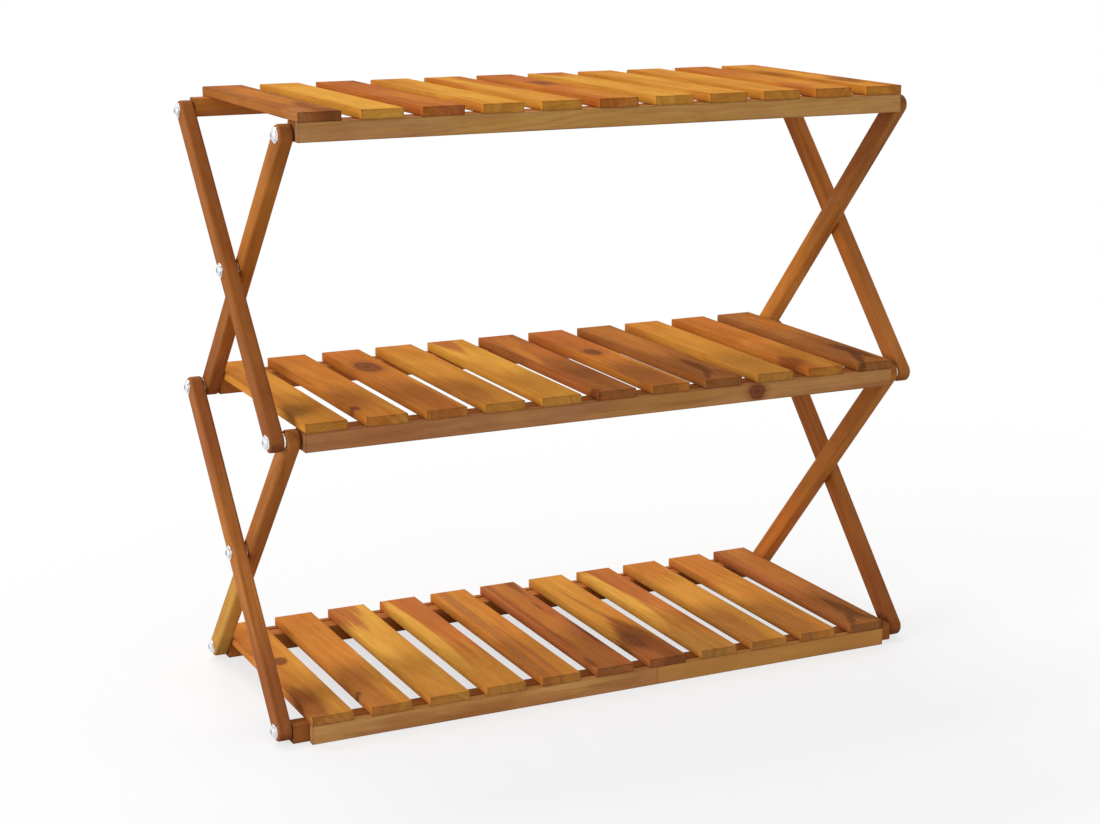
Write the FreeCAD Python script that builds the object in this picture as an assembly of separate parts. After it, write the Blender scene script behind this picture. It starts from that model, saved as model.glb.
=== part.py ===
import FreeCAD, Part
import math
import os

from FreeCAD import Vector

# A three-shelf folding rack in oiled hardwood.  X runs along the shelves, Y from front
# to back, Z up.  The origin is on the floor, under the middle of the rack.
# Each end is a two-tier scissor: four legs in two layers.  Every shelf is a slatted
# panel with an apron along its front and back edge.  The panel swings on the bar at one
# edge and lies on the bar at the other edge, where its apron hooks over that bar and
# keeps the scissors from spreading.

# Slatted panels
slat_count = 11
shelf_length = 700.0
shelf_pitch = 310.0
slat_width = 45.0
slat_thickness = 10.0
slat_length = 316.0
slat_edge_radius = 1.0

# Aprons under the front and back ends of the slats
rail_height = 20.0
apron_thickness = 9.0
apron_edge_radius = 1.0
hook_gap = 1.5

# Bars between the legs, of the same height as the aprons
bar_depth = 20.0
bar_edge_radius = 2.0

# Legs.  The outer shelves' pivots sit this far off the bars' middle, towards the middle
# shelf, so that the rounded leg ends stay within the shelves' thickness.
leg_width = 22.0
leg_thickness = 15.5
leg_edge_radius = 3.0
pivot_shift = 3.5

# Pivot screws and washers
screw_diameter = 6.0
screw_point = 4.0
bar_grip = 28.0
leg_grip = 12.0
head_diameter = 12.5
head_height = 3.6
head_rim = 1.4
socket_width = 5.0
socket_depth = 2.0
washer_diameter = 16.0
head_washer = 1.2
spacer_washer = 1.6

# Clearances and the overrun of every cut
running_clearance = 0.05
side_play = 0.6
washer_play = 0.15
drill_room = 1.0
overrun = 1.0

# Heights, depths and stations along X that follow from the sizes above
shelf_names = ("bottom", "middle", "top")
middle_shelf = 1
slat_pitch = (shelf_length - slat_width) / (slat_count - 1)
pivot_y = slat_length / 2 - apron_thickness - hook_gap - bar_depth / 2
hole_radius = screw_diameter / 2 + running_clearance

inner_leg_x = shelf_length / 2 + side_play
outer_leg_x = inner_leg_x + leg_thickness + spacer_washer + 2 * washer_play
short_bar_end = shelf_length / 2
long_bar_end = outer_leg_x - side_play

along_x = Vector(1, 0, 0)
along_y = Vector(0, 1, 0)
origin = Vector(0, 0, 0)
parallel_tolerance = 1e-6


def deck_z(shelf):
    """Height of the underside of a shelf's slats."""
    return rail_height + shelf * shelf_pitch


def pivot_z(shelf):
    """Height of a shelf's pivots, drawn towards the middle shelf on the other two."""
    return deck_z(shelf) - rail_height / 2 + (middle_shelf - shelf) * pivot_shift


def front_pivot(shelf):
    return Vector(0, -pivot_y, pivot_z(shelf))


def rear_pivot(shelf):
    return Vector(0, pivot_y, pivot_z(shelf))


def edges_along(shape, axis):
    """The straight edges of a shape that run along an axis."""
    found = []
    for edge in shape.Edges:
        if edge.tangentAt(edge.FirstParameter).cross(axis).Length < parallel_tolerance:
            found.append(edge)
    return found


def mirrored(shape):
    """The same piece for the other end of the rack."""
    return shape.mirror(origin, along_x)


def rod(radius, start, length):
    """A round bar along X from a start point."""
    return Part.makeCylinder(radius, length, start, along_x)


# Shelf panels
def slat(shelf, number):
    """A slat with its long edges and the top edges of its ends rounded."""
    low_x = (number - 1) * slat_pitch - shelf_length / 2
    corner = Vector(low_x, -slat_length / 2, deck_z(shelf))
    board = Part.makeBox(slat_width, slat_length, slat_thickness, corner)
    end_edges = []
    for edge in edges_along(board, along_x):
        if edge.CenterOfMass.z > deck_z(shelf) + slat_thickness / 2:
            end_edges.append(edge)
    return board.makeFillet(slat_edge_radius, edges_along(board, along_y) + end_edges)


def apron(shelf, side):
    """The strip under the slat ends, flush with them.  Side is -1 in front, 1 behind."""
    middle_y = side * (slat_length - apron_thickness) / 2
    corner = Vector(-shelf_length / 2, middle_y - apron_thickness / 2, deck_z(shelf) - rail_height)
    strip = Part.makeBox(shelf_length, apron_thickness, rail_height, corner)
    return strip.makeFillet(apron_edge_radius, edges_along(strip, along_x))


def bar(shelf, pivot, half_length):
    """A bar on two pivots, with a hole for a screw in each end."""
    corner = Vector(-half_length, pivot.y - bar_depth / 2, deck_z(shelf) - rail_height)
    beam = Part.makeBox(2 * half_length, bar_depth, rail_height, corner)
    beam = beam.makeFillet(bar_edge_radius, edges_along(beam, along_x))
    depth = bar_grip + drill_room
    hole = rod(hole_radius, pivot + Vector(half_length - depth, 0, 0), depth + overrun)
    return beam.cut(hole).cut(mirrored(hole))


# Scissor legs
def leg(top, bottom, near_x, blind_crossing):
    """A right-hand leg between two pivots, with round ends and softened edges.

    Its face nearest the shelves stands at near_x.  The crossing hole goes through, or
    where it is blind it stops in the wood and holds the crossing screw.
    """
    reach = leg_width / 2
    run = (bottom - top).normalize()
    side = run.cross(along_x) * reach
    station = along_x * near_x
    corners = [station + point for point in (top + side, bottom + side, bottom - side, top - side)]
    outline = Part.Wire([
        Part.LineSegment(corners[0], corners[1]).toShape(),
        Part.Arc(corners[1], station + bottom + run * reach, corners[2]).toShape(),
        Part.LineSegment(corners[2], corners[3]).toShape(),
        Part.Arc(corners[3], station + top - run * reach, corners[0]).toShape(),
    ])
    blank = Part.Face(outline).extrude(along_x * leg_thickness)
    rims = [edge for edge in blank.Edges if not edges_along(edge, along_x)]
    piece = blank.makeFillet(leg_edge_radius, rims)
    for pivot in (top, bottom):
        start = station + pivot - along_x * overrun
        piece = piece.cut(rod(hole_radius, start, leg_thickness + 2 * overrun))
    depth = leg_thickness + overrun
    if blind_crossing:
        depth = leg_grip + drill_room
    start = station + (top + bottom) / 2 + along_x * (leg_thickness - depth)
    return piece.cut(rod(hole_radius, start, depth + overrun))


# Pivot hardware
def screw(seat_x, tip_x):
    """A pan-head screw along X with a six-sided socket, its head seated at seat_x."""
    shank = screw_diameter / 2
    head = head_diameter / 2
    crown = head_height - head_rim
    dome_radius = (head * head + crown * crown) / (2 * crown)
    half_way = head / 2
    dome_drop = dome_radius - math.sqrt(dome_radius * dome_radius - half_way * half_way)
    top_x = seat_x + head_height
    tip = Vector(tip_x, 0, 0)
    shoulder = Vector(tip_x + screw_point, 0, shank)
    neck = Vector(seat_x, 0, shank)
    rim_low = Vector(seat_x, 0, head)
    rim_high = Vector(seat_x + head_rim, 0, head)
    dome = Vector(top_x - dome_drop, 0, half_way)
    crown_top = Vector(top_x, 0, 0)
    profile = Part.Wire([
        Part.LineSegment(tip, shoulder).toShape(),
        Part.LineSegment(shoulder, neck).toShape(),
        Part.LineSegment(neck, rim_low).toShape(),
        Part.LineSegment(rim_low, rim_high).toShape(),
        Part.Arc(rim_high, dome, crown_top).toShape(),
        Part.LineSegment(crown_top, tip).toShape(),
    ])
    body = Part.Face(profile).revolve(origin, along_x, 360)
    corner = Vector(0, socket_width / 2 / math.cos(math.pi / 6), 0)
    floor_x = top_x - socket_depth
    hexagon = []
    for step in range(7):
        turn = FreeCAD.Rotation(along_x, 60 * step)
        hexagon.append(turn.multVec(corner) + along_x * floor_x)
    socket = Part.Face(Part.makePolygon(hexagon)).extrude(along_x * (socket_depth + overrun))
    return body.cut(socket)


def washer(low_x, thickness):
    """A flat washer round the X axis."""
    ring = rod(washer_diameter / 2, along_x * low_x, thickness)
    bore = rod(hole_radius, along_x * (low_x - overrun), thickness + 2 * overrun)
    return ring.cut(bore)


def pivot_set(pivot, leg_x, tip_x, spaced):
    """The screw and washers of one pivot, at both ends of the rack.

    The outermost leg of the pivot stands at leg_x.  A spaced pivot joins two legs and
    has a washer between them.
    """
    washer_x = leg_x + leg_thickness + washer_play
    pieces = [screw(washer_x + head_washer, tip_x), washer(washer_x, head_washer)]
    if spaced:
        pieces.append(washer(leg_x - washer_play - spacer_washer, spacer_washer))
    placed = []
    for piece in pieces:
        piece.translate(pivot)
        placed += [piece, mirrored(piece)]
    return placed


def bar_pivots(pivot, leg_x, bar_end, spaced):
    """Screws that hold the legs to the ends of a bar."""
    return pivot_set(pivot, leg_x, bar_end - bar_grip, spaced)


def crossing_pivots(lower_shelf):
    """Screws that hold an outer leg to an inner leg where they cross."""
    centre = (front_pivot(lower_shelf) + rear_pivot(lower_shelf + 1)) / 2
    return pivot_set(centre, outer_leg_x, inner_leg_x + leg_thickness - leg_grip, True)


nodes = {}

for shelf, name in enumerate(shelf_names):
    for number in range(1, slat_count + 1):
        nodes[f"{name}_slat_{number:02d}"] = [slat(shelf, number)]
    nodes[f"{name}_front_apron"] = [apron(shelf, -1)]
    nodes[f"{name}_rear_apron"] = [apron(shelf, 1)]

# Bars: two reach the outer legs, the other four end at the inner legs
bottom, middle, top = range(len(shelf_names))
nodes["bottom_front_bar"] = [bar(bottom, front_pivot(bottom), long_bar_end)]
nodes["bottom_rear_bar"] = [bar(bottom, rear_pivot(bottom), short_bar_end)]
nodes["middle_front_bar"] = [bar(middle, front_pivot(middle), short_bar_end)]
nodes["middle_rear_bar"] = [bar(middle, rear_pivot(middle), short_bar_end)]
nodes["top_front_bar"] = [bar(top, front_pivot(top), short_bar_end)]
nodes["top_rear_bar"] = [bar(top, rear_pivot(top), long_bar_end)]

# Outer legs lean back as they rise, inner legs lean forward
for tier, lower_shelf in (("lower", bottom), ("upper", middle)):
    upper_shelf = lower_shelf + 1
    outer = leg(rear_pivot(upper_shelf), front_pivot(lower_shelf), outer_leg_x, False)
    inner = leg(front_pivot(upper_shelf), rear_pivot(lower_shelf), inner_leg_x, True)
    nodes[f"{tier}_outer_leg_right"] = [outer]
    nodes[f"{tier}_outer_leg_left"] = [mirrored(outer)]
    nodes[f"{tier}_inner_leg_right"] = [inner]
    nodes[f"{tier}_inner_leg_left"] = [mirrored(inner)]

# Pivot screws stay with the piece that their points are driven into
nodes["bottom_front_pivots"] = bar_pivots(front_pivot(bottom), outer_leg_x, long_bar_end, False)
nodes["bottom_rear_pivots"] = bar_pivots(rear_pivot(bottom), inner_leg_x, short_bar_end, False)
nodes["lower_crossing_pivots"] = crossing_pivots(bottom)
nodes["middle_front_pivots"] = bar_pivots(front_pivot(middle), outer_leg_x, short_bar_end, True)
nodes["upper_inner_leg_pivots"] = (
    bar_pivots(rear_pivot(middle), outer_leg_x, short_bar_end, True) + crossing_pivots(middle)
)
nodes["top_front_pivots"] = bar_pivots(front_pivot(top), inner_leg_x, short_bar_end, False)
nodes["top_rear_pivots"] = bar_pivots(rear_pivot(top), outer_leg_x, long_bar_end, False)

os.makedirs("parts", exist_ok=True)
for name, solids in nodes.items():
    shape = solids[0]
    if len(solids) > 1:
        shape = Part.makeCompound(solids)
    shape.exportStep(f"parts/{name}.step")
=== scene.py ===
import math
from collections import namedtuple

import bpy
from mathutils import Matrix, Vector


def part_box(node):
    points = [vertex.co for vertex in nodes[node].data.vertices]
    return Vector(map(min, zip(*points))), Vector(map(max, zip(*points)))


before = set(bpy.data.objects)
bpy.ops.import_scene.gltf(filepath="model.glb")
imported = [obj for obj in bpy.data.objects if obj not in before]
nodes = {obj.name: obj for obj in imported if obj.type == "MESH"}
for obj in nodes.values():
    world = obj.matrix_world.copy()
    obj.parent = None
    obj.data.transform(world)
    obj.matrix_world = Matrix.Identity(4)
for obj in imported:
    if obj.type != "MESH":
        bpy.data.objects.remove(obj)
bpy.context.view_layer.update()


def tone(red, green, blue):
    """A colour as the eye reads it, 0 to 255, in the linear light that shaders take."""
    parts = [part / 255 for part in (red, green, blue)]
    return [part / 12.92 if part <= 0.04045 else ((part + 0.055) / 1.055) ** 2.4 for part in parts] + [1.0]


# Tones of oiled hardwood, from pale sapwood to the dark eye of a knot.
TONES = {
    "straw": tone(216, 168, 98),
    "oat": tone(202, 150, 84),
    "fawn": tone(186, 130, 80),
    "honey": tone(226, 162, 64),
    "mustard": tone(200, 146, 66),
    "gold": tone(213, 143, 56),
    "olive": tone(172, 124, 62),
    "amber": tone(205, 127, 50),
    "copper": tone(196, 113, 48),
    "russet": tone(186, 106, 52),
    "toffee": tone(190, 118, 54),
    "nut": tone(176, 111, 55),
    "walnut": tone(168, 104, 50),
    "saddle": tone(161, 98, 47),
    "cocoa": tone(148, 86, 46),
    "chestnut": tone(146, 82, 40),
    "umber": tone(112, 64, 34),
    "plum": tone(120, 66, 40),
    "drab": tone(130, 92, 46),
    "eye": tone(74, 44, 28),
}
# Tints that darken or lighten a tone.
MOTTLE_TINT = (0.78, 0.70, 0.64, 1.0)
LATE_GROWTH_TINT = (0.74, 0.65, 0.58, 1.0)
DARK_STREAK_TINT = (0.70, 0.60, 0.50, 1.0)
LIGHT_STREAK_TINT = (1.25, 1.25, 1.20, 1.0)
PALE_FIBRE_TINT = (1.0, 0.93, 0.80, 1.0)
DARK_FIBRE_TINT = (0.30, 0.20, 0.14, 1.0)
PORE_TINT = (0.46, 0.36, 0.30, 1.0)
END_GRAIN_TINT = (0.62, 0.64, 0.82, 1.0)
# Painted shade: a tint that darkens the eased edges against the lamps' highlight on their rounding.
EDGE_SHADE_TINT = (0.70, 0.66, 0.62, 1.0)


class Socket:
    """A socket in a node tree. Sums and products of sockets add Math nodes."""

    def __init__(self, tree, socket=None):
        self.tree = tree
        self.socket = socket

    def node(self, kind, settings=None, inputs=None, output=0):
        """Adds one node of any type: its settings first, then its sockets' values or links."""
        made = self.tree.nodes.new("ShaderNode" + kind)
        for name, value in (settings or {}).items():
            setattr(made, name, value)
        for key, value in (inputs or {}).items():
            if isinstance(value, Socket):
                self.tree.links.new(value.socket, made.inputs[key])
            else:
                made.inputs[key].default_value = value
        return Socket(self.tree, made.outputs[output] if made.outputs else None)

    def math(self, operation, first, second=0.0):
        """One Math node on values."""
        return self.node("Math", {"operation": operation}, {0: first, 1: second})

    def __add__(self, other):
        return self.math("ADD", self, other)

    def __sub__(self, other):
        return self.math("SUBTRACT", self, other)

    def __rsub__(self, other):
        return self.math("SUBTRACT", other, self)

    def __mul__(self, other):
        return self.math("MULTIPLY", self, other)

    def __truediv__(self, other):
        return self.math("DIVIDE", self, other)

    def __pow__(self, power):
        return self.math("POWER", self, power)

    def __abs__(self):
        return self.math("ABSOLUTE", self)

    __radd__ = __add__
    __rmul__ = __mul__

    def vector(self, operation, *others, output=0):
        """Vector maths on this vector and others."""
        return self.node("VectorMath", {"operation": operation}, dict(enumerate((self, *others))), output)

    def axis(self, letter):
        """This vector's X, Y or Z."""
        return self.node("SeparateXYZ", None, {"Vector": self}, letter)

    def ramp(self, start, end, low=0.0, high=1.0):
        """Runs smoothly from low at start to high at end."""
        return self.node("MapRange", {"interpolation_type": "SMOOTHSTEP"},
                         {0: self, 1: start, 2: end, 3: low, 4: high})

    def noise(self, along, across, detail, rough=0.5):
        """Cloudy noise on a vector, with so many clouds per metre along X and across it."""
        scaled = self.vector("MULTIPLY", (along, across, across))
        return self.node("TexNoise", None,
                         {"Vector": scaled, "Scale": 1.0, "Detail": detail, "Roughness": rough})

    def bands(self, per_unit, detail, rough=0.5):
        """Noise along one value, with so many bands to each unit of it."""
        return self.node("TexNoise", {"noise_dimensions": "1D"},
                         {"W": self, "Scale": per_unit, "Detail": detail, "Roughness": rough})

    def between(self, first, second):
        """From the first colour where this value is 0 to the second where it is 1."""
        return self.node("Mix", {"data_type": "RGBA"}, {0: self, 6: first, 7: second}, output=2)

    def mixed(self, colour, share, blend="MIX"):
        """This colour with a share of another laid over it."""
        return self.node("Mix", {"data_type": "RGBA", "blend_type": blend},
                         {0: share, 6: self, 7: colour}, output=2)


def new_finish(name):
    """An empty material and the start of its node tree."""
    material = bpy.data.materials.new(name)
    material.use_nodes = True
    material.node_tree.nodes.clear()
    return material, Socket(material.node_tree)


# A board's main and second tones, its patches of other tones, its knots, any glued butt joint (metres past
# the middle, and the tone beyond it), and a tint over the whole board, which on the slats is painted light.
Board = namedtuple("Board", "main second patches knots joint batch",
                   defaults=((), (), None, (1.0, 1.0, 1.0)))
# A patch's middle, half length and half width are shares of the board's length and width. It leans by
# degrees, widens along the board with a taper above 0, and fades and frays at its rim.
Patch = namedtuple("Patch", "shade along across length width share lean taper soft fray",
                   defaults=(0.8, 0.0, 0.0, 0.4, 1.0))
# A knot's radius across the board is in metres, and its length is stretch times that.
Knot = namedtuple("Knot", "along across radius stretch", defaults=(1.5,))
# How a kind of piece is worked: the radius of its eased edges in metres, its roughness, its gloss and the
# strength of its figure.
Work = namedtuple("Work", "edge rough gloss figure")

# Noise in the grain: clouds per metre along the grain and across it, detail, and roughness where set.
SWAY = (5.0, 11.0, 2.0)
STREAKS = (7.0, 120.0, 2.0, 0.55)
FIBRES = (11.0, 520.0, 3.0, 0.6)
PORES = (70.0, 2300.0, 1.0)
MOTTLE = (16.0, 46.0, 3.0, 0.55)
CLOUDS = (4.5, 24.0, 2.0)
NOISE_MIDDLE = 0.5
# How far apart in that noise one board and the next lie, in metres.
BOARD_STEP = (0.83, 0.47, 0.29)
# The levels of noise between which each mark comes in. Streaks and fibres are counted from the middle.
PORE_LEVELS = (0.60, 0.74)
MOTTLE_LEVELS = (0.34, 0.64)
CLOUD_LEVELS = (0.42, 0.66)
RING_LEVELS = (0.34, 0.68)
DARK_STREAK_LEVELS = (0.02, 0.30)
LIGHT_STREAK_LEVELS = (-0.02, -0.30)
PALE_FIBRE_LEVELS = (0.02, 0.28)
DARK_FIBRE_LEVELS = (-0.02, -0.28)
# How strongly the marks that don't follow the figure show.
CLOUD_SHARE = 0.8
PALE_FIBRE_SHARE = 0.22
DARK_FIBRE_SHARE = 0.20
PORE_SHARE = 0.34
# How much streaks, fibres and sway fray the rim of a patch or a knot.
PATCH_FRAY = (1.7, 0.9, 1.1)
KNOT_FRAY = (0.7, 0.5, 0.6)
# A spot goes right through its board, and the narrow end of a tapered one keeps some of its width.
SPOT_DEPTH = 100.0
NARROWEST = 0.1

# Where the heart of the tree lay from the middle of a board, across it and through it, in metres.
SAWN = [
    (0.010, -0.040),
    (-0.028, -0.030),
    (0.050, -0.022),
    (-0.012, -0.062),
    (0.085, 0.012),
    (-0.060, -0.018),
]
# How far the rings run out of the face in each metre along a board.
RUN_OUT = [0.035, -0.05, 0.06, -0.03]
# Rings per metre, their detail and roughness, and how far apart one board's rings and the next's lie.
RINGS = (150.0, 3.0, 0.62)
RING_STEP = 1.37
# How far sway, streaks and a knot shift the rings, in metres.
RING_SWAY = 0.034
RING_RIPPLE = 0.004
KNOT_SWEEP = 0.012

# A knot from its halo to its heart: tone, where it comes in, where it is full, and share. Its rim is at 1.
KNOT_RINGS = [
    ("chestnut", 2.3, 0.9, 0.5),
    ("plum", 1.35, 0.75, 0.80),
    ("saddle", 0.75, 0.30, 0.30),
]
# Where the sweep of the rings, a knot's whorls and its pupil come in and are full.
SWEEP_REACH = (3.2, 0.2)
WHORL_REACH = (1.15, 0.85)
PUPIL_REACH = (0.45, 0.05)
# Whorls from a knot's middle to its rim and their detail, the levels that they come in at, and shares.
WHORLS = (6.0, 1.0)
WHORL_LEVELS = (0.46, 0.64)
WHORL_SHARE = 0.4
PUPIL_SHARE = 0.45

# A butt joint: how far the change of tone and the dark line reach either side of it, in metres, and shares.
JOINT_CHANGE = 0.0004
JOINT_LINE = (0.0009, 0.0002)
JOINT_TONE_SHARE = 0.45
JOINT_LINE_SHARE = 0.55
# End grain: how squarely a face looks along the grain, and how much oil it and its rings drink.
END_LEVELS = (0.6, 0.95)
END_OIL = 0.66
END_RING_OIL = 0.2
# How far in from the faces that meet at an edge the edge band comes in and is full, in edge radii.
EDGE_BAND_START = 2.2
EDGE_BAND_FULL = 0.4
# Divided by an edge's radius in metres, the share of painted shade that darkens the edge against the lamps'
# highlight on its rounding.
EDGE_SHADE = 0.0006
# Relief from fibres, rings and pores, its strength, and its depth in metres.
FIBRE_RELIEF = 0.5
RING_RELIEF = 0.25
PORE_RELIEF = 0.6
RELIEF_STRENGTH = 0.22
RELIEF_DEPTH = 0.0006
# What fibres, rings and end grain add to the roughness, and wear takes off it.
FIBRE_ROUGH = 0.22
RING_ROUGH = 0.06
END_ROUGH = 0.14
WEAR_POLISH = 0.08


class Plank:
    """A board's own directions and the noise of its grain, in its finish's node tree."""

    def __init__(self, start, number, centre, axes, size):
        self.start = start
        self.number = number
        self.axes = axes
        self.size = size
        turn = Matrix(axes)
        self.place = start.node("Mapping", {"vector_type": "POINT"}, {
            "Vector": start.node("TexCoord", output="Object"),
            "Rotation": turn.to_euler("XYZ"),
            "Location": -(turn @ Vector(centre))})
        self.along, self.across, self.through = [self.place.axis(letter) for letter in "XYZ"]
        own = self.place.vector("ADD", [step * number for step in BOARD_STEP])
        self.sway = own.noise(*SWAY) - NOISE_MIDDLE
        self.streak = own.noise(*STREAKS) - NOISE_MIDDLE
        self.fibre = own.noise(*FIBRES) - NOISE_MIDDLE
        self.pores = own.noise(*PORES).ramp(*PORE_LEVELS)
        self.mottle = own.noise(*MOTTLE).ramp(*MOTTLE_LEVELS)
        self.clouds = own.noise(*CLOUDS).ramp(*CLOUD_LEVELS)

    def frayed(self, streaks, fibres, sway):
        """Noise that frays a rim along the grain."""
        return self.streak * streaks + self.fibre * fibres + self.sway * sway

    def spot(self, along, across, half_length, half_width, lean=0.0, taper=0.0):
        """Distance from a spot on the face, 1 at the spot's rim."""
        length, width = self.size[:2]
        there = self.start.node("Mapping", {"vector_type": "TEXTURE"}, {
            "Vector": self.place,
            "Location": ((along - 0.5) * length, (across - 0.5) * width, 0.0),
            "Rotation": (0.0, 0.0, math.radians(lean)),
            "Scale": (half_length, half_width, SPOT_DEPTH)})
        if not taper:
            return there.vector("LENGTH", output="Value")
        ahead = there.axis("X")
        aside = there.axis("Y") / ahead.math("MAXIMUM", 1 + ahead * taper, NARROWEST)
        return (ahead * ahead + aside * aside) ** 0.5

    def eye(self, knot):
        """Distance from a knot, 1 at its frayed rim."""
        rim = self.spot(knot.along, knot.across, knot.radius * knot.stretch, knot.radius)
        return rim + self.frayed(*KNOT_FRAY)

    def late_growth(self, eyes):
        """The dark of the growth rings: distance from the heart of the tree, swept round any knot."""
        across, through = SAWN[self.number % len(SAWN)]
        run_out = RUN_OUT[self.number % len(RUN_OUT)]
        heart = self.place.vector("MULTIPLY_ADD", (0.0, 1.0, 1.0), (0.0, -across, -through))
        radius = heart.vector("LENGTH", output="Value") + self.along * run_out
        radius = radius + self.sway * RING_SWAY + self.streak * RING_RIPPLE
        for eye in eyes:
            radius = radius + KNOT_SWEEP * eye.ramp(*SWEEP_REACH)
        return (radius + self.number * RING_STEP).bands(*RINGS).ramp(*RING_LEVELS)

    def toned(self, board):
        """The main tone clouded with the second, and the patches over them."""
        length, width = self.size[:2]
        colour = (self.clouds * CLOUD_SHARE).between(TONES[board.main], TONES[board.second])
        ragged = self.frayed(*PATCH_FRAY)
        for patch in board.patches:
            rim = self.spot(patch.along, patch.across, patch.length * length, patch.width * width,
                            patch.lean, patch.taper)
            rim = rim + ragged * patch.fray
            share = rim.ramp(1 + patch.soft, 1 - patch.soft, 0.0, patch.share)
            colour = colour.mixed(TONES[patch.shade], share)
        return colour

    def figured(self, colour, late, figure):
        """Mottle, growth rings, and dark and light streaks over a colour."""
        colour = colour.mixed(MOTTLE_TINT, self.mottle * figure, "MULTIPLY")
        colour = colour.mixed(LATE_GROWTH_TINT, late * figure, "MULTIPLY")
        dark = self.streak.ramp(*DARK_STREAK_LEVELS, 0.0, figure)
        light = self.streak.ramp(*LIGHT_STREAK_LEVELS, 0.0, figure)
        return colour.mixed(DARK_STREAK_TINT, dark, "MULTIPLY").mixed(LIGHT_STREAK_TINT, light, "MULTIPLY")

    def knotted(self, colour, eye):
        """A knot over a colour: a halo, a dark rim, a lighter heart, whorls and a pupil."""
        for shade, comes_in, full, share in KNOT_RINGS:
            colour = colour.mixed(TONES[shade], eye.ramp(comes_in, full, 0.0, share))
        whorl = (eye + self.number).bands(*WHORLS).ramp(*WHORL_LEVELS, 0.0, WHORL_SHARE)
        colour = colour.mixed(TONES["eye"], eye.ramp(*WHORL_REACH) * whorl)
        return colour.mixed(TONES["eye"], eye.ramp(*PUPIL_REACH, 0.0, PUPIL_SHARE))

    def fibrous(self, colour):
        """Fibres that lighten and darken a colour a little, and pores that hold darker oil."""
        pale = self.fibre.ramp(*PALE_FIBRE_LEVELS, 0.0, PALE_FIBRE_SHARE)
        dark = self.fibre.ramp(*DARK_FIBRE_LEVELS, 0.0, DARK_FIBRE_SHARE)
        colour = colour.mixed(PALE_FIBRE_TINT, pale, "SOFT_LIGHT").mixed(DARK_FIBRE_TINT, dark, "MULTIPLY")
        return colour.mixed(PORE_TINT, self.pores * PORE_SHARE, "MULTIPLY")

    def jointed(self, colour, at, shade):
        """A butt joint so many metres past the middle, with another tone beyond it."""
        beyond = self.along.ramp(at - JOINT_CHANGE, at + JOINT_CHANGE, 0.0, JOINT_TONE_SHARE)
        line = abs(self.along - at).ramp(*JOINT_LINE, 0.0, JOINT_LINE_SHARE)
        return colour.mixed(TONES[shade], beyond).mixed(TONES["umber"], line)

    def end_grain(self):
        """1 on the sawn ends and 0 on the other faces."""
        face = self.start.node("TexCoord", output="Normal")
        return abs(face.vector("DOT_PRODUCT", self.axes[0], output="Value")).ramp(*END_LEVELS)

    def eased_edges(self, edge):
        """1 along the eased edges and 0 away from them."""
        near = [abs(way).ramp(whole / 2 - EDGE_BAND_START * edge, whole / 2 - EDGE_BAND_FULL * edge)
                for way, whole in zip((self.along, self.across, self.through), self.size)]
        return near[0] * near[1] + near[1] * near[2] + near[2] * near[0]


def oiled_wood(name, number, centre, axes, size, board, work):
    """One board's finish. axes are its grain, width and thickness directions, and size is along them."""
    material, start = new_finish(name)
    plank = Plank(start, number, centre, axes, size)
    eyes = [plank.eye(knot) for knot in board.knots]
    late = plank.late_growth(eyes)
    colour = plank.figured(plank.toned(board), late, work.figure)
    for eye in eyes:
        colour = plank.knotted(colour, eye)
    colour = plank.fibrous(colour)
    if board.joint:
        colour = plank.jointed(colour, *board.joint)
    # End grain drinks more oil and shows the rings darker, and the eased edges get painted shade that darkens
    # the lamps' highlight on their rounding.
    ends = plank.end_grain()
    eased_edges = plank.eased_edges(work.edge)
    colour = colour.mixed(END_GRAIN_TINT, ends * (END_OIL + late * END_RING_OIL), "MULTIPLY")
    colour = colour.mixed(EDGE_SHADE_TINT, eased_edges * (EDGE_SHADE / work.edge + plank.streak), "MULTIPLY")
    # The tint over the whole board; on the slats it is painted light, strongest on the lower shelves.
    colour = colour.mixed((*board.batch, 1.0), 1.0, "MULTIPLY")

    relief = plank.fibre * FIBRE_RELIEF + late * RING_RELIEF - plank.pores * PORE_RELIEF
    bump = start.node("Bump", None,
                      {"Strength": RELIEF_STRENGTH, "Distance": RELIEF_DEPTH, "Height": relief})
    rough = work.rough + plank.fibre * FIBRE_ROUGH + late * RING_ROUGH + ends * END_ROUGH - eased_edges * WEAR_POLISH
    shader = start.node("BsdfPrincipled", None, {
        "Base Color": colour, "Roughness": rough, "Normal": bump, "Specular IOR Level": work.gloss})
    start.node("OutputMaterial", None, {"Surface": shader})
    return material


# Polished steel: its turning marks and smudges per metre and their detail, and its tones.
TURNING_MARKS = (5200.0, 2.0, 0.6)
SMUDGES = (160.0, 160.0, 3.0)
SMUDGE_LEVELS = (0.35, 0.7)
SMUDGE_SHARE = 0.5
CLEAN_STEEL = tone(234, 235, 236)
SMUDGED_STEEL = tone(214, 216, 219)
# Its own roughness and what turning marks and smudges add, and the marks' strength and depth in metres.
STEEL_ROUGH = 0.20
TURNED_ROUGH = 0.16
SMUDGE_ROUGH = 0.10
TURNED_STRENGTH = 0.10
TURNED_DEPTH = 0.0002


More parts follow.
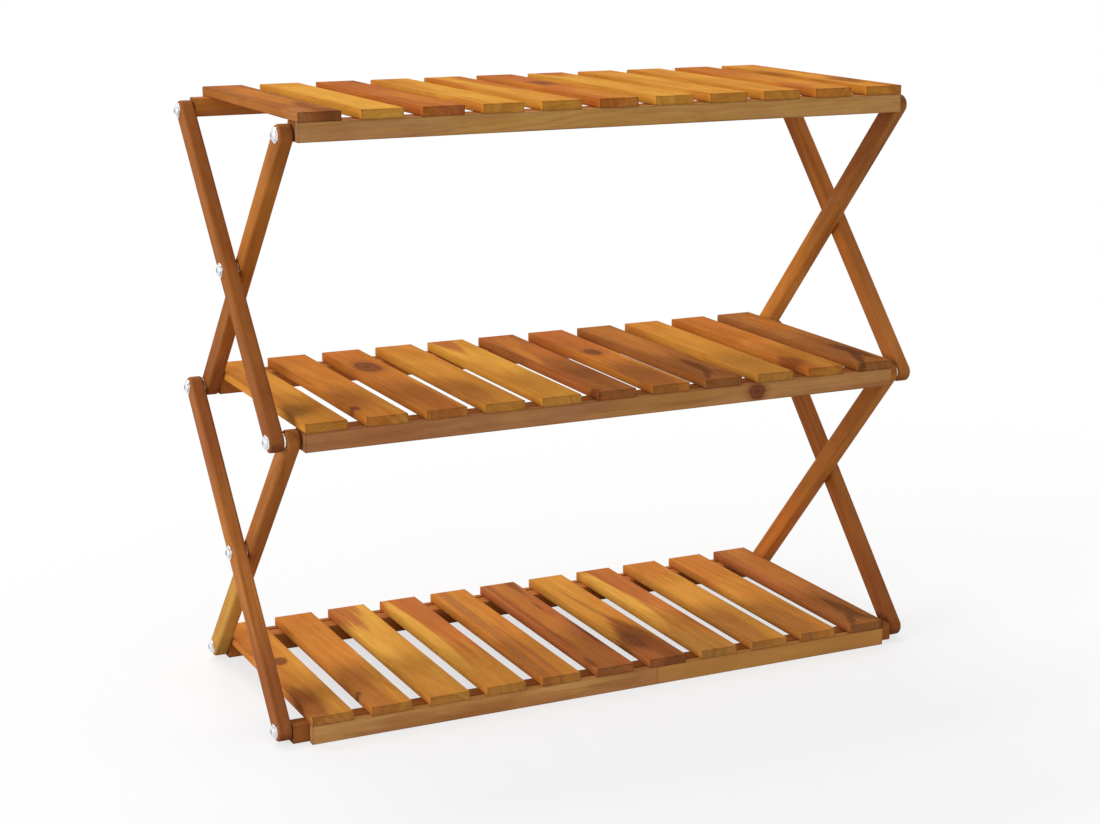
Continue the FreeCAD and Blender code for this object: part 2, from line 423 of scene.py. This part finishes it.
def bright_steel(name, lines):
    """Polished screw heads and washers, with faint turning marks round each screw's own line."""
    material, start = new_finish(name)
    here = start.node("TexCoord", output="Object")
    flat = here.vector("MULTIPLY", (0.0, 1.0, 1.0))
    near = None
    for y, z in lines:
        away = flat.vector("DISTANCE", (0.0, y, z), output="Value")
        near = away if near is None else near.math("MINIMUM", near, away)
    turned = near.bands(*TURNING_MARKS)
    smudge = here.noise(*SMUDGES)
    colour = smudge.ramp(*SMUDGE_LEVELS, 0.0, SMUDGE_SHARE).between(CLEAN_STEEL, SMUDGED_STEEL)
    bump = start.node("Bump", None,
                      {"Strength": TURNED_STRENGTH, "Distance": TURNED_DEPTH, "Height": turned})
    rough = STEEL_ROUGH + (turned - NOISE_MIDDLE) * TURNED_ROUGH + smudge * SMUDGE_ROUGH
    shader = start.node("BsdfPrincipled", None, {
        "Base Color": colour, "Metallic": 1.0, "Normal": bump, "Roughness": rough})
    start.node("OutputMaterial", None, {"Surface": shader})
    return material


# Each board as the photograph shows it. On a slat, along runs from the rear end to the front end and
# across from left to right. On the middle and bottom shelves, some darker patches near the front ends are
# partly the board's own tone and partly painted shade, the shadow of the shelf above.
SLATS = {
    # Painted shade, in part: the walnut, nut, olive and amber patches near the front ends of slats 2, 3, 5,
    # 8, 9 and 10 also stand for the shadow of the middle shelf.
    "bottom": [
        Board("amber", "gold", [
            Patch("gold", 0.38, 0.98, 0.32, 0.2, 0.9, soft=0.3),
            Patch("copper", 0.16, 0.15, 0.22, 0.45, 0.7),
            Patch("plum", 0.455, 0.5, 0.035, 0.17, 0.8, lean=-25, soft=0.3),
            Patch("chestnut", 0.86, 0.1, 0.14, 0.42, 0.8, fray=0.6),
        ]),
        Board("amber", "amber", [
            Patch("copper", 0.02, 0.7, 0.08, 0.6, 0.6),
            Patch("walnut", 0.8, 0.26, 0.2, 0.44, 0.5, soft=0.3, fray=0.5),
            Patch("gold", 0.86, 0.94, 0.3, 0.28, 0.85, soft=0.3),
        ], [Knot(0.86, 0.03, 0.0026)]),
        Board("honey", "gold", [
            Patch("russet", 0.01, 0.24, 0.25, 0.48, 0.95, taper=-0.4, soft=0.4, fray=1.0),
            Patch("amber", 0.9, 0.2, 0.3, 0.7, 0.6),
        ]),
        Board("copper", "russet", [
            Patch("gold", 0.94, 0.36, 0.36, 0.84, 0.85, soft=0.5),
            Patch("honey", 0.4, 0.03, 0.4, 0.37, 0.95, lean=-1.4, taper=0.3, soft=0.15, fray=0.4),
        ]),
        Board("amber", "copper", [
            Patch("gold", 0.2, 0.55, 0.3, 0.1, 0.6),
            Patch("nut", 0.3, 0.26, 0.6, 0.12, 0.7),
            Patch("walnut", 0.84, 0.12, 0.26, 0.14, 0.7),
            Patch("nut", 0.78, 0.5, 0.34, 0.07, 0.8),
            Patch("gold", 0.84, 0.8, 0.3, 0.22, 0.6),
        ]),
        Board("russet", "walnut", [
            Patch("amber", 0.4, 0.45, 0.4, 0.24, 0.5),
            Patch("chestnut", 0.06, 0.82, 0.1, 0.1, 0.9, taper=-0.4),
            Patch("chestnut", 0.31, 0.7, 0.05, 0.05, 0.8),
            Patch("chestnut", 0.38, 0.14, 0.4, 0.07, 0.7),
            Patch("plum", 0.66, 0.98, 0.2, 0.14, 0.9),
            Patch("umber", 0.93, 0.07, 0.05, 0.08, 0.6),
        ]),
        Board("gold", "amber", [
            Patch("walnut", 0.36, 0.38, 0.2, 0.07, 0.6, lean=3),
            Patch("chestnut", 0.9, 0.5, 0.36, 0.64, 0.9, taper=0.7, soft=0.3, fray=0.6),
            Patch("russet", 0.97, 0.12, 0.1, 0.3, 0.6),
            Patch("umber", 0.8, 0.32, 0.08, 0.28, 0.85, soft=0.6),
        ], [Knot(0.825, 0.27, 0.0078, 1.3)]),
        Board("copper", "russet", [
            Patch("gold", 0.94, 0.28, 0.34, 0.8, 0.85, soft=0.5),
            Patch("olive", 0.95, 0.2, 0.22, 0.6, 0.4),
            Patch("honey", 0.36, 0.04, 0.38, 0.35, 0.95, lean=-1.2, taper=0.25, soft=0.15, fray=0.4),
        ]),
        Board("gold", "gold", [
            Patch("copper", 0.02, 0.5, 0.2, 0.9, 0.7, fray=1.4),
            Patch("nut", 0.86, 0.16, 0.24, 0.5, 0.6, lean=-4),
        ]),
        Board("gold", "amber", [
            Patch("copper", 0.02, 0.55, 0.24, 0.9, 0.7, fray=1.4),
            Patch("nut", 0.88, 0.14, 0.24, 0.44, 0.6, lean=-4),
        ]),
        Board("walnut", "russet", [
            Patch("amber", 0.3, 0.6, 0.3, 0.3, 0.4),
            Patch("umber", 0.82, 0.56, 0.12, 0.16, 0.7, lean=3, taper=0.3),
            Patch("umber", 0.94, 0.3, 0.06, 0.09, 0.65, lean=-26),
            Patch("umber", 0.95, 0.84, 0.07, 0.12, 0.6, lean=20),
        ]),
    ],
    # Painted shade, in part: the drab, walnut and olive patches near the front ends of slats 1, 2, 3, 4, 7
    # and 9 also stand for the shadow of the top shelf.
    "middle": [
        Board("gold", "amber", [
            Patch("honey", 0.4, 0.7, 0.25, 0.3, 0.3),
            Patch("drab", 0.81, 0.16, 0.09, 0.42, 0.5, lean=-6, soft=0.7, fray=0.5),
        ]),
        Board("amber", "amber", [
            Patch("copper", 0.02, 0.55, 0.14, 0.8, 0.6),
            Patch("walnut", 0.72, 0.34, 0.18, 0.4, 0.45),
            Patch("gold", 0.84, 0.96, 0.32, 0.32, 0.85, soft=0.3),
        ], [Knot(0.865, 0.08, 0.0036, 1.9)]),
        Board("amber", "copper", [
            Patch("copper", 0.04, 0.5, 0.16, 0.8, 0.7),
            Patch("walnut", 0.76, 0.42, 0.28, 0.6, 0.45),
            Patch("gold", 0.72, 0.98, 0.3, 0.12, 0.8),
        ], [Knot(0.3, 0.43, 0.0122, 1.9)]),
        Board("gold", "gold", [
            Patch("amber", 0.03, 0.6, 0.2, 0.8, 0.6),
            Patch("walnut", 0.76, 0.12, 0.2, 0.42, 0.55, fray=0.5),
        ]),
        Board("honey", "gold", [
            Patch("russet", 0.01, 0.34, 0.22, 0.36, 0.95, taper=-0.5, soft=0.4, fray=1.0),
            Patch("gold", 0.88, 0.4, 0.26, 0.8, 0.6),
        ]),
        Board("walnut", "russet", [
            Patch("amber", 0.26, 0.3, 0.22, 0.16, 0.85, lean=-5),
            Patch("amber", 0.14, 0.6, 0.1, 0.08, 0.6, lean=-5),
            Patch("copper", 0.33, 0.78, 0.12, 0.26, 0.6),
            Patch("chestnut", 0.62, 0.6, 0.16, 0.4, 0.5),
            Patch("umber", 0.97, 0.03, 0.03, 0.12, 0.7),
        ]),
        Board("amber", "copper", [
            Patch("russet", 0.16, 0.45, 0.34, 0.6, 0.8),
            Patch("walnut", 0.86, 0.36, 0.26, 0.56, 0.85),
            Patch("gold", 0.72, 0.96, 0.3, 0.13, 0.85),
        ], [Knot(0.42, 0.45, 0.0088, 1.6)]),
        Board("walnut", "nut", [
            Patch("amber", 0.3, 0.5, 0.3, 0.4, 0.5),
            Patch("umber", 0.8, 0.57, 0.13, 0.16, 0.75, lean=-3, taper=0.2),
            Patch("umber", 0.93, 0.3, 0.08, 0.1, 0.75, lean=-24),
            Patch("chestnut", 0.93, 0.84, 0.08, 0.14, 0.7, lean=15),
        ]),
        Board("gold", "gold", [
            Patch("amber", 0.03, 0.3, 0.18, 0.5, 0.6),
            Patch("olive", 0.9, 0.3, 0.24, 0.7, 0.25),
        ]),
        Board("amber", "copper", [
            Patch("copper", 0.04, 0.6, 0.22, 0.8, 0.8),
            Patch("gold", 0.76, 0.86, 0.3, 0.34, 0.8, lean=-3),
            Patch("chestnut", 0.86, 0.12, 0.07, 0.26, 0.8),
        ]),
        Board("walnut", "nut", [
            Patch("amber", 0.24, 0.6, 0.26, 0.4, 0.5),
            Patch("plum", 0.8, 0.68, 0.12, 0.13, 0.85, lean=4),
            Patch("umber", 0.92, 0.36, 0.1, 0.1, 0.85, lean=-22),
            Patch("straw", 0.9, 0.98, 0.06, 0.07, 0.6),
        ]),
    ],
    "top": [
        Board("walnut", "russet", [
            Patch("amber", 0.42, 0.55, 0.34, 0.24, 0.65),
            Patch("chestnut", 0.81, 0.64, 0.1, 0.16, 0.75, lean=-6),
            Patch("fawn", 0.93, 0.12, 0.08, 0.2, 0.6),
            Patch("umber", 0.97, 0.8, 0.06, 0.34, 0.55),
        ]),
        Board("honey", "honey", [
            Patch("gold", 0.02, 0.5, 0.16, 0.9, 0.8),
            Patch("gold", 0.5, 0.02, 0.5, 0.12, 0.7),
        ]),
        Board("russet", "copper", [
            Patch("chestnut", 0.05, 0.94, 0.1, 0.14, 0.9),
            Patch("copper", 0.22, 0.64, 0.08, 0.22, 0.7),
            Patch("amber", 0.66, 0.6, 0.24, 0.28, 0.8),
        ]),
        Board("gold", "honey", [
            Patch("amber", 0.04, 0.3, 0.2, 0.6, 0.6),
            Patch("amber", 0.86, 0.08, 0.14, 0.18, 0.7),
        ]),
        Board("gold", "honey", [
            Patch("copper", 0.24, 0.94, 0.4, 0.36, 0.9, taper=-0.2, soft=0.25, fray=0.6),
            Patch("copper", 0.14, 0.04, 0.2, 0.14, 0.7),
            Patch("honey", 0.34, 0.34, 0.34, 0.14, 0.9),
            Patch("amber", 0.72, 0.98, 0.24, 0.16, 0.5),
        ]),
        Board("copper", "amber", [
            Patch("russet", 0.08, 0.55, 0.22, 0.6, 0.8),
            Patch("gold", 0.88, 0.7, 0.26, 0.4, 0.5),
            Patch("chestnut", 0.385, 0.57, 0.08, 0.22, 0.95, soft=0.6),
        ], [Knot(0.385, 0.57, 0.0034, 2.2)]),
        Board("honey", "gold", [
            Patch("russet", 0.02, 0.48, 0.12, 0.42, 0.95, soft=0.4),
            Patch("gold", 0.5, 0.06, 0.46, 0.14, 0.6),
        ]),
        Board("gold", "honey", [
            Patch("amber", 0.1, 0.3, 0.3, 0.5, 0.5),
            Patch("amber", 0.96, 0.4, 0.1, 0.6, 0.4),
        ]),
        Board("gold", "honey", [
            Patch("amber", 0.04, 0.3, 0.18, 0.5, 0.5),
            Patch("amber", 0.6, 0.1, 0.3, 0.16, 0.5),
        ]),
        Board("amber", "gold", [
            Patch("copper", 0.18, 0.55, 0.32, 0.6, 0.85, lean=3),
            Patch("russet", 0.84, 0.2, 0.1, 0.28, 0.75, lean=-8),
            Patch("gold", 0.74, 0.78, 0.3, 0.36, 0.7),
        ]),
        Board("gold", "amber", [
            Patch("walnut", 0.38, 0.06, 0.18, 0.16, 0.85),
            Patch("honey", 0.46, 0.5, 0.22, 0.24, 0.7),
            Patch("chestnut", 0.73, 0.64, 0.13, 0.34, 0.8, lean=-8, taper=-0.2, fray=0.6),
            Patch("russet", 0.93, 0.82, 0.08, 0.26, 0.7),
        ]),
    ],
}
# On an apron or a bar, along runs from the left end to the right end and across from bottom to top.
APRONS = {
    "top_front": Board("oat", "mustard", [
        Patch("fawn", 0.1, 0.4, 0.12, 0.6, 0.6),
        Patch("mustard", 0.6, 0.6, 0.3, 0.6, 0.5),
    ], batch=(0.93, 0.97, 1.24)),
    "middle_front": Board("fawn", "oat", [
        Patch("oat", 0.86, 0.6, 0.18, 0.6, 0.7),
        Patch("toffee", 0.1, 0.5, 0.1, 0.5, 0.3),
        Patch("mustard", 0.58, 0.5, 0.1, 0.5, 0.5),
    ], [Knot(0.747, 0.5, 0.0072, 1.25)], batch=(0.91, 0.89, 1.04)),
    "bottom_front": Board("oat", "fawn", [
        Patch("straw", 0.02, 0.65, 0.1, 0.7, 0.8),
        Patch("straw", 0.45, 0.8, 0.07, 0.5, 0.6, fray=1.5),
        Patch("nut", 0.32, 0.2, 0.12, 0.4, 0.5),
    ], joint=(0.052, "mustard"), batch=(1.05, 1.0, 1.1)),
    "top_rear": Board("oat", "olive", [Patch("nut", 0.4, 0.4, 0.2, 0.5, 0.5)]),
    "middle_rear": Board("toffee", "oat", [
        Patch("nut", 0.2, 0.5, 0.2, 0.6, 0.5),
    ], [Knot(0.31, 0.45, 0.004)], batch=(1.1, 1.1, 1.2)),
    "bottom_rear": Board("toffee", "nut", [
        Patch("oat", 0.7, 0.5, 0.2, 0.6, 0.4),
    ], batch=(1.15, 1.15, 1.25)),
}
BARS = {
    "top_front": Board("nut", "toffee"),
    # The amber patch high on this bar's left part is painted light, standing in for the light on its rounded
    # upper front edge.
    "top_rear": Board("nut", "toffee", [Patch("amber", 0.1, 0.8, 0.3, 0.4, 0.5)]),
    "middle_front": Board("nut", "saddle"),
    "middle_rear": Board("nut", "toffee", batch=(1.3, 1.35, 1.5)),
    "bottom_front": Board("saddle", "nut"),
    "bottom_rear": Board("nut", "toffee", batch=(1.4, 1.45, 1.7)),
}
# On a leg, along runs from its upper end to its lower end and across from front to rear.
LEGS = {
    "upper_outer_leg_left": Board("saddle", "saddle", [
        Patch("cocoa", 0.95, 0.5, 0.2, 0.9, 0.6),
    ], batch=(1.04, 1.05, 1.04)),
    "upper_inner_leg_left": Board("toffee", "toffee", [
        Patch("saddle", 0.68, 0.5, 0.18, 0.9, 0.8),
        Patch("cocoa", 0.92, 0.4, 0.12, 0.9, 0.8),
        Patch("cocoa", 0.05, 0.2, 0.1, 0.5, 0.5),
    ], batch=(0.96, 0.98, 0.9)),
    "lower_outer_leg_left": Board("nut", "toffee", [
        Patch("cocoa", 0.1, 0.5, 0.24, 0.9, 0.8),
        Patch("cocoa", 0.92, 0.5, 0.22, 0.9, 0.9),
    ], batch=(1.19, 1.23, 1.28)),
    "lower_inner_leg_left": Board("toffee", "nut", [
        Patch("mustard", 0.84, 0.6, 0.24, 1.2, 1.0, soft=0.15, fray=0.5),
        Patch("saddle", 0.3, 0.2, 0.26, 0.5, 0.5),
    ], batch=(1.06, 1.08, 1.12)),
    "upper_outer_leg_right": Board("nut", "toffee", [
        Patch("saddle", 0.28, 0.8, 0.26, 0.5, 0.7),
        Patch("gold", 0.5, 0.5, 0.2, 0.2, 0.4),
    ], batch=(1.04, 1.06, 1.08)),
    # The cocoa patch at this leg's upper end is painted shade, the shadow of the top shelf.
    "upper_inner_leg_right": Board("toffee", "amber", [
        Patch("cocoa", 0.14, 0.5, 0.34, 0.9, 0.9),
        Patch("saddle", 0.5, 0.3, 0.2, 0.5, 0.6),
    ], batch=(1.19, 1.39, 1.42)),
    # The nut patch on this leg's upper part is painted light, which lightens it where the middle shelf's
    # shadow falls.
    "lower_outer_leg_right": Board("saddle", "saddle", [
        Patch("nut", 0.25, 0.5, 0.3, 0.9, 0.9),
        Patch("cocoa", 0.95, 0.5, 0.18, 0.9, 0.7),
    ], batch=(1.06, 1.06, 1.08)),
    "lower_inner_leg_right": Board("toffee", "copper", [
        Patch("nut", 0.22, 0.5, 0.34, 0.9, 0.8),
    ], batch=(1.18, 1.27, 1.22)),
}

SLAT_WORK = Work(edge=0.0010, rough=0.72, gloss=0.010, figure=0.34)
APRON_WORK = Work(edge=0.0010, rough=0.70, gloss=0.04, figure=0.40)
BAR_WORK = Work(edge=0.0020, rough=0.70, gloss=0.04, figure=0.40)
LEG_WORK = Work(edge=0.0030, rough=0.64, gloss=0.05, figure=0.44)
# Painted light: a tint that lightens each shelf's slats, and the lower shelves most, where the shelves above
# keep light off them.
SLAT_PAINTED_LIGHT = {
    "bottom": (1.18, 1.31, 1.64),
    "middle": (1.10, 1.17, 1.30),
    "top": (1.08, 1.11, 1.10),
}

X, Y, Z = Vector((1, 0, 0)), Vector((0, 1, 0)), Vector((0, 0, 1))


def middle(name):
    """A CAD node's middle, and its size along X, Y and Z."""
    low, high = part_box(name)
    return (low + high) / 2, high - low


def dress(name, finish):
    """Gives a CAD node its finish."""
    piece = nodes[name]
    for slot in piece.material_slots:
        slot.material = finish
    if not piece.material_slots:
        piece.data.materials.append(finish)


def pivot(name):
    """The Y and Z of the line that a group of screws turns on."""
    centre = middle(name)[0]
    return centre.y, centre.z


number = 0
for shelf, boards in SLATS.items():
    for count, board in enumerate(boards, 1):
        number += 1
        name = f"{shelf}_slat_{count:02d}"
        centre, size = middle(name)
        # Each slat takes its shelf's painted light.
        board = board._replace(batch=SLAT_PAINTED_LIGHT[shelf])
        dress(name, oiled_wood(name, number, centre, (-Y, X, Z), (size.y, size.x, size.z), board, SLAT_WORK))
for kind, boards, work in (("apron", APRONS, APRON_WORK), ("bar", BARS, BAR_WORK)):
    for place, board in boards.items():
        number += 1
        name = f"{place}_{kind}"
        centre, size = middle(name)
        dress(name, oiled_wood(name, number, centre, (X, Z, -Y), (size.x, size.z, size.y), board, work))

front, middle_height = pivot("middle_front_pivots")
rear, top_height = pivot("top_rear_pivots")
leg_reach = rear - front
leg_rise = top_height - middle_height
for name, board in LEGS.items():
    number += 1
    centre, size = middle(name)
    down = Vector((0, -leg_reach if "outer" in name else leg_reach, -leg_rise)).normalized()
    wide = down.cross(X)
    if wide.y < 0:
        wide = -wide
    # A leg's ends are rounded about its pivots, so its box is its width more than its rise.
    width = size.z - leg_rise
    length = math.hypot(leg_rise, leg_reach) + width
    axes = (down, wide, down.cross(wide))
    dress(name, oiled_wood(name, number, centre, axes, (length, width, size.x), board, LEG_WORK))

for name in ("bottom_front_pivots", "bottom_rear_pivots", "lower_crossing_pivots", "middle_front_pivots",
             "top_front_pivots", "top_rear_pivots"):
    dress(name, bright_steel(name, [pivot(name)]))
# One node holds the screws at the upper crossings and those at the lower ends of the upper inner legs.
upper_crossing = (front + rear) / 2, (middle_height + top_height) / 2
name = "upper_inner_leg_pivots"
dress(name, bright_steel(name, [(rear, middle_height), upper_crossing]))

# White studio: a floor that keeps the shadow near the rack and fades to plain white away from it.
WHITE = (1.0, 1.0, 1.0, 1.0)
FLOOR_SIZE = 16.0
FLOOR_DROP = 0.0004  # Keeps the floor's face clear of the faces that stand on it.
# The floor's paper as light meets it and as the camera sees it.
PAPER_LIT = (0.56, 0.56, 0.56, 1.0)
PAPER_SEEN = (0.97, 0.97, 0.97, 1.0)
# Metres from the rack's middle between which the fade runs, and its share of plain white at each.
FADE_START = 0.45
FADE_END = 1.6
WHITE_NEAR = 0.70
WHITE_FAR = 1.0
# The world's light from the sides, and how much less comes from straight above.
SIDE_GLOW = 1.12
LESS_ABOVE = 0.80


def seen(start):
    """1 for rays from the camera, or mirrored or passed on to it, and 0 for light on the rack."""
    rays = [start.node("LightPath", output=f"Is {kind} Ray") for kind in ("Camera", "Glossy", "Transmission")]
    return start.math("MAXIMUM", rays[0], start.math("MAXIMUM", rays[1], rays[2]))


def lay_floor():
    """White paper under the rack, clear from below so that views from there see the rack."""
    bpy.ops.object.select_all(action="DESELECT")
    bpy.ops.mesh.primitive_plane_add(size=FLOOR_SIZE, location=(0.0, 0.0, -FLOOR_DROP))
    floor = bpy.context.object
    floor.name = "studio_floor"
    finish, start = new_finish("studio_floor")
    away = start.node("TexCoord", output="Object").vector("LENGTH", output="Value")
    paper = start.node("BsdfDiffuse", None, {"Color": seen(start).between(PAPER_LIT, PAPER_SEEN)})
    white = start.node("Emission", None, {"Color": WHITE, "Strength": 1.0})
    fade = seen(start) * away.ramp(FADE_START, FADE_END, WHITE_NEAR, WHITE_FAR)
    shown = start.node("MixShader", None, {0: fade, 1: paper, 2: white})
    under = start.node("NewGeometry", output="Backfacing")
    shown = start.node("MixShader", None, {0: under, 1: shown, 2: start.node("BsdfTransparent")})
    start.node("OutputMaterial", None, {"Surface": shown})
    floor.data.materials.append(finish)


def light_world():
    """Soft light from all round, and plain white behind the rack."""
    world = bpy.data.worlds.new("studio")
    bpy.context.scene.world = world
    world.use_nodes = True
    world.node_tree.nodes.clear()
    start = Socket(world.node_tree)
    up = start.node("TexCoord", output="Generated").axis("Z")
    glow = SIDE_GLOW - up.math("MAXIMUM", up, 0.0) * LESS_ABOVE
    shine = start.node("Mix", None, {0: seen(start), 2: glow, 3: 1.0})
    around = start.node("Background", None, {"Color": WHITE, "Strength": shine})
    start.node("OutputWorld", None, {"Surface": around})


def lamp(name, place, aim, wide, deep, power):
    """A soft rectangular studio lamp, in metres and watts."""
    data = bpy.data.lights.new(name, "AREA")
    data.shape = "RECTANGLE"
    data.size = wide
    data.size_y = deep
    data.energy = power
    made = bpy.data.objects.new(name, data)
    made.location = place
    made.rotation_euler = (Vector(aim) - Vector(place)).to_track_quat("-Z", "Y").to_euler()
    bpy.context.scene.collection.objects.link(made)


lay_floor()
light_world()
rack_heart = (0.0, 0.0, 0.3)
lamp("rear_lamp", place=(-0.4, 3.95, 5.9), aim=rack_heart, wide=5.0, deep=1.05, power=200.0)
lamp("left_lamp", place=(-7.0, -0.93, 2.4), aim=rack_heart, wide=3.3, deep=3.3, power=200.0)

# The photograph's view: the camera's place in metres, how many degrees it looks down and to the right, and
# its sensor and lens in millimetres.
camera_place = (-1.02892, -2.13382, 0.85700)
look_down = 12.196
look_right = 25.660
lens = bpy.data.cameras.new("photograph")
lens.sensor_width = 36.0
lens.lens = 70.30
lens.shift_y = -0.05
camera = bpy.data.objects.new("photograph", lens)
camera.location = camera_place
camera.rotation_euler = (math.radians(90.0 - look_down), 0.0, math.radians(-look_right))
bpy.context.scene.collection.objects.link(camera)
bpy.context.scene.camera = camera
bpy.context.scene.view_settings.view_transform = "Standard"
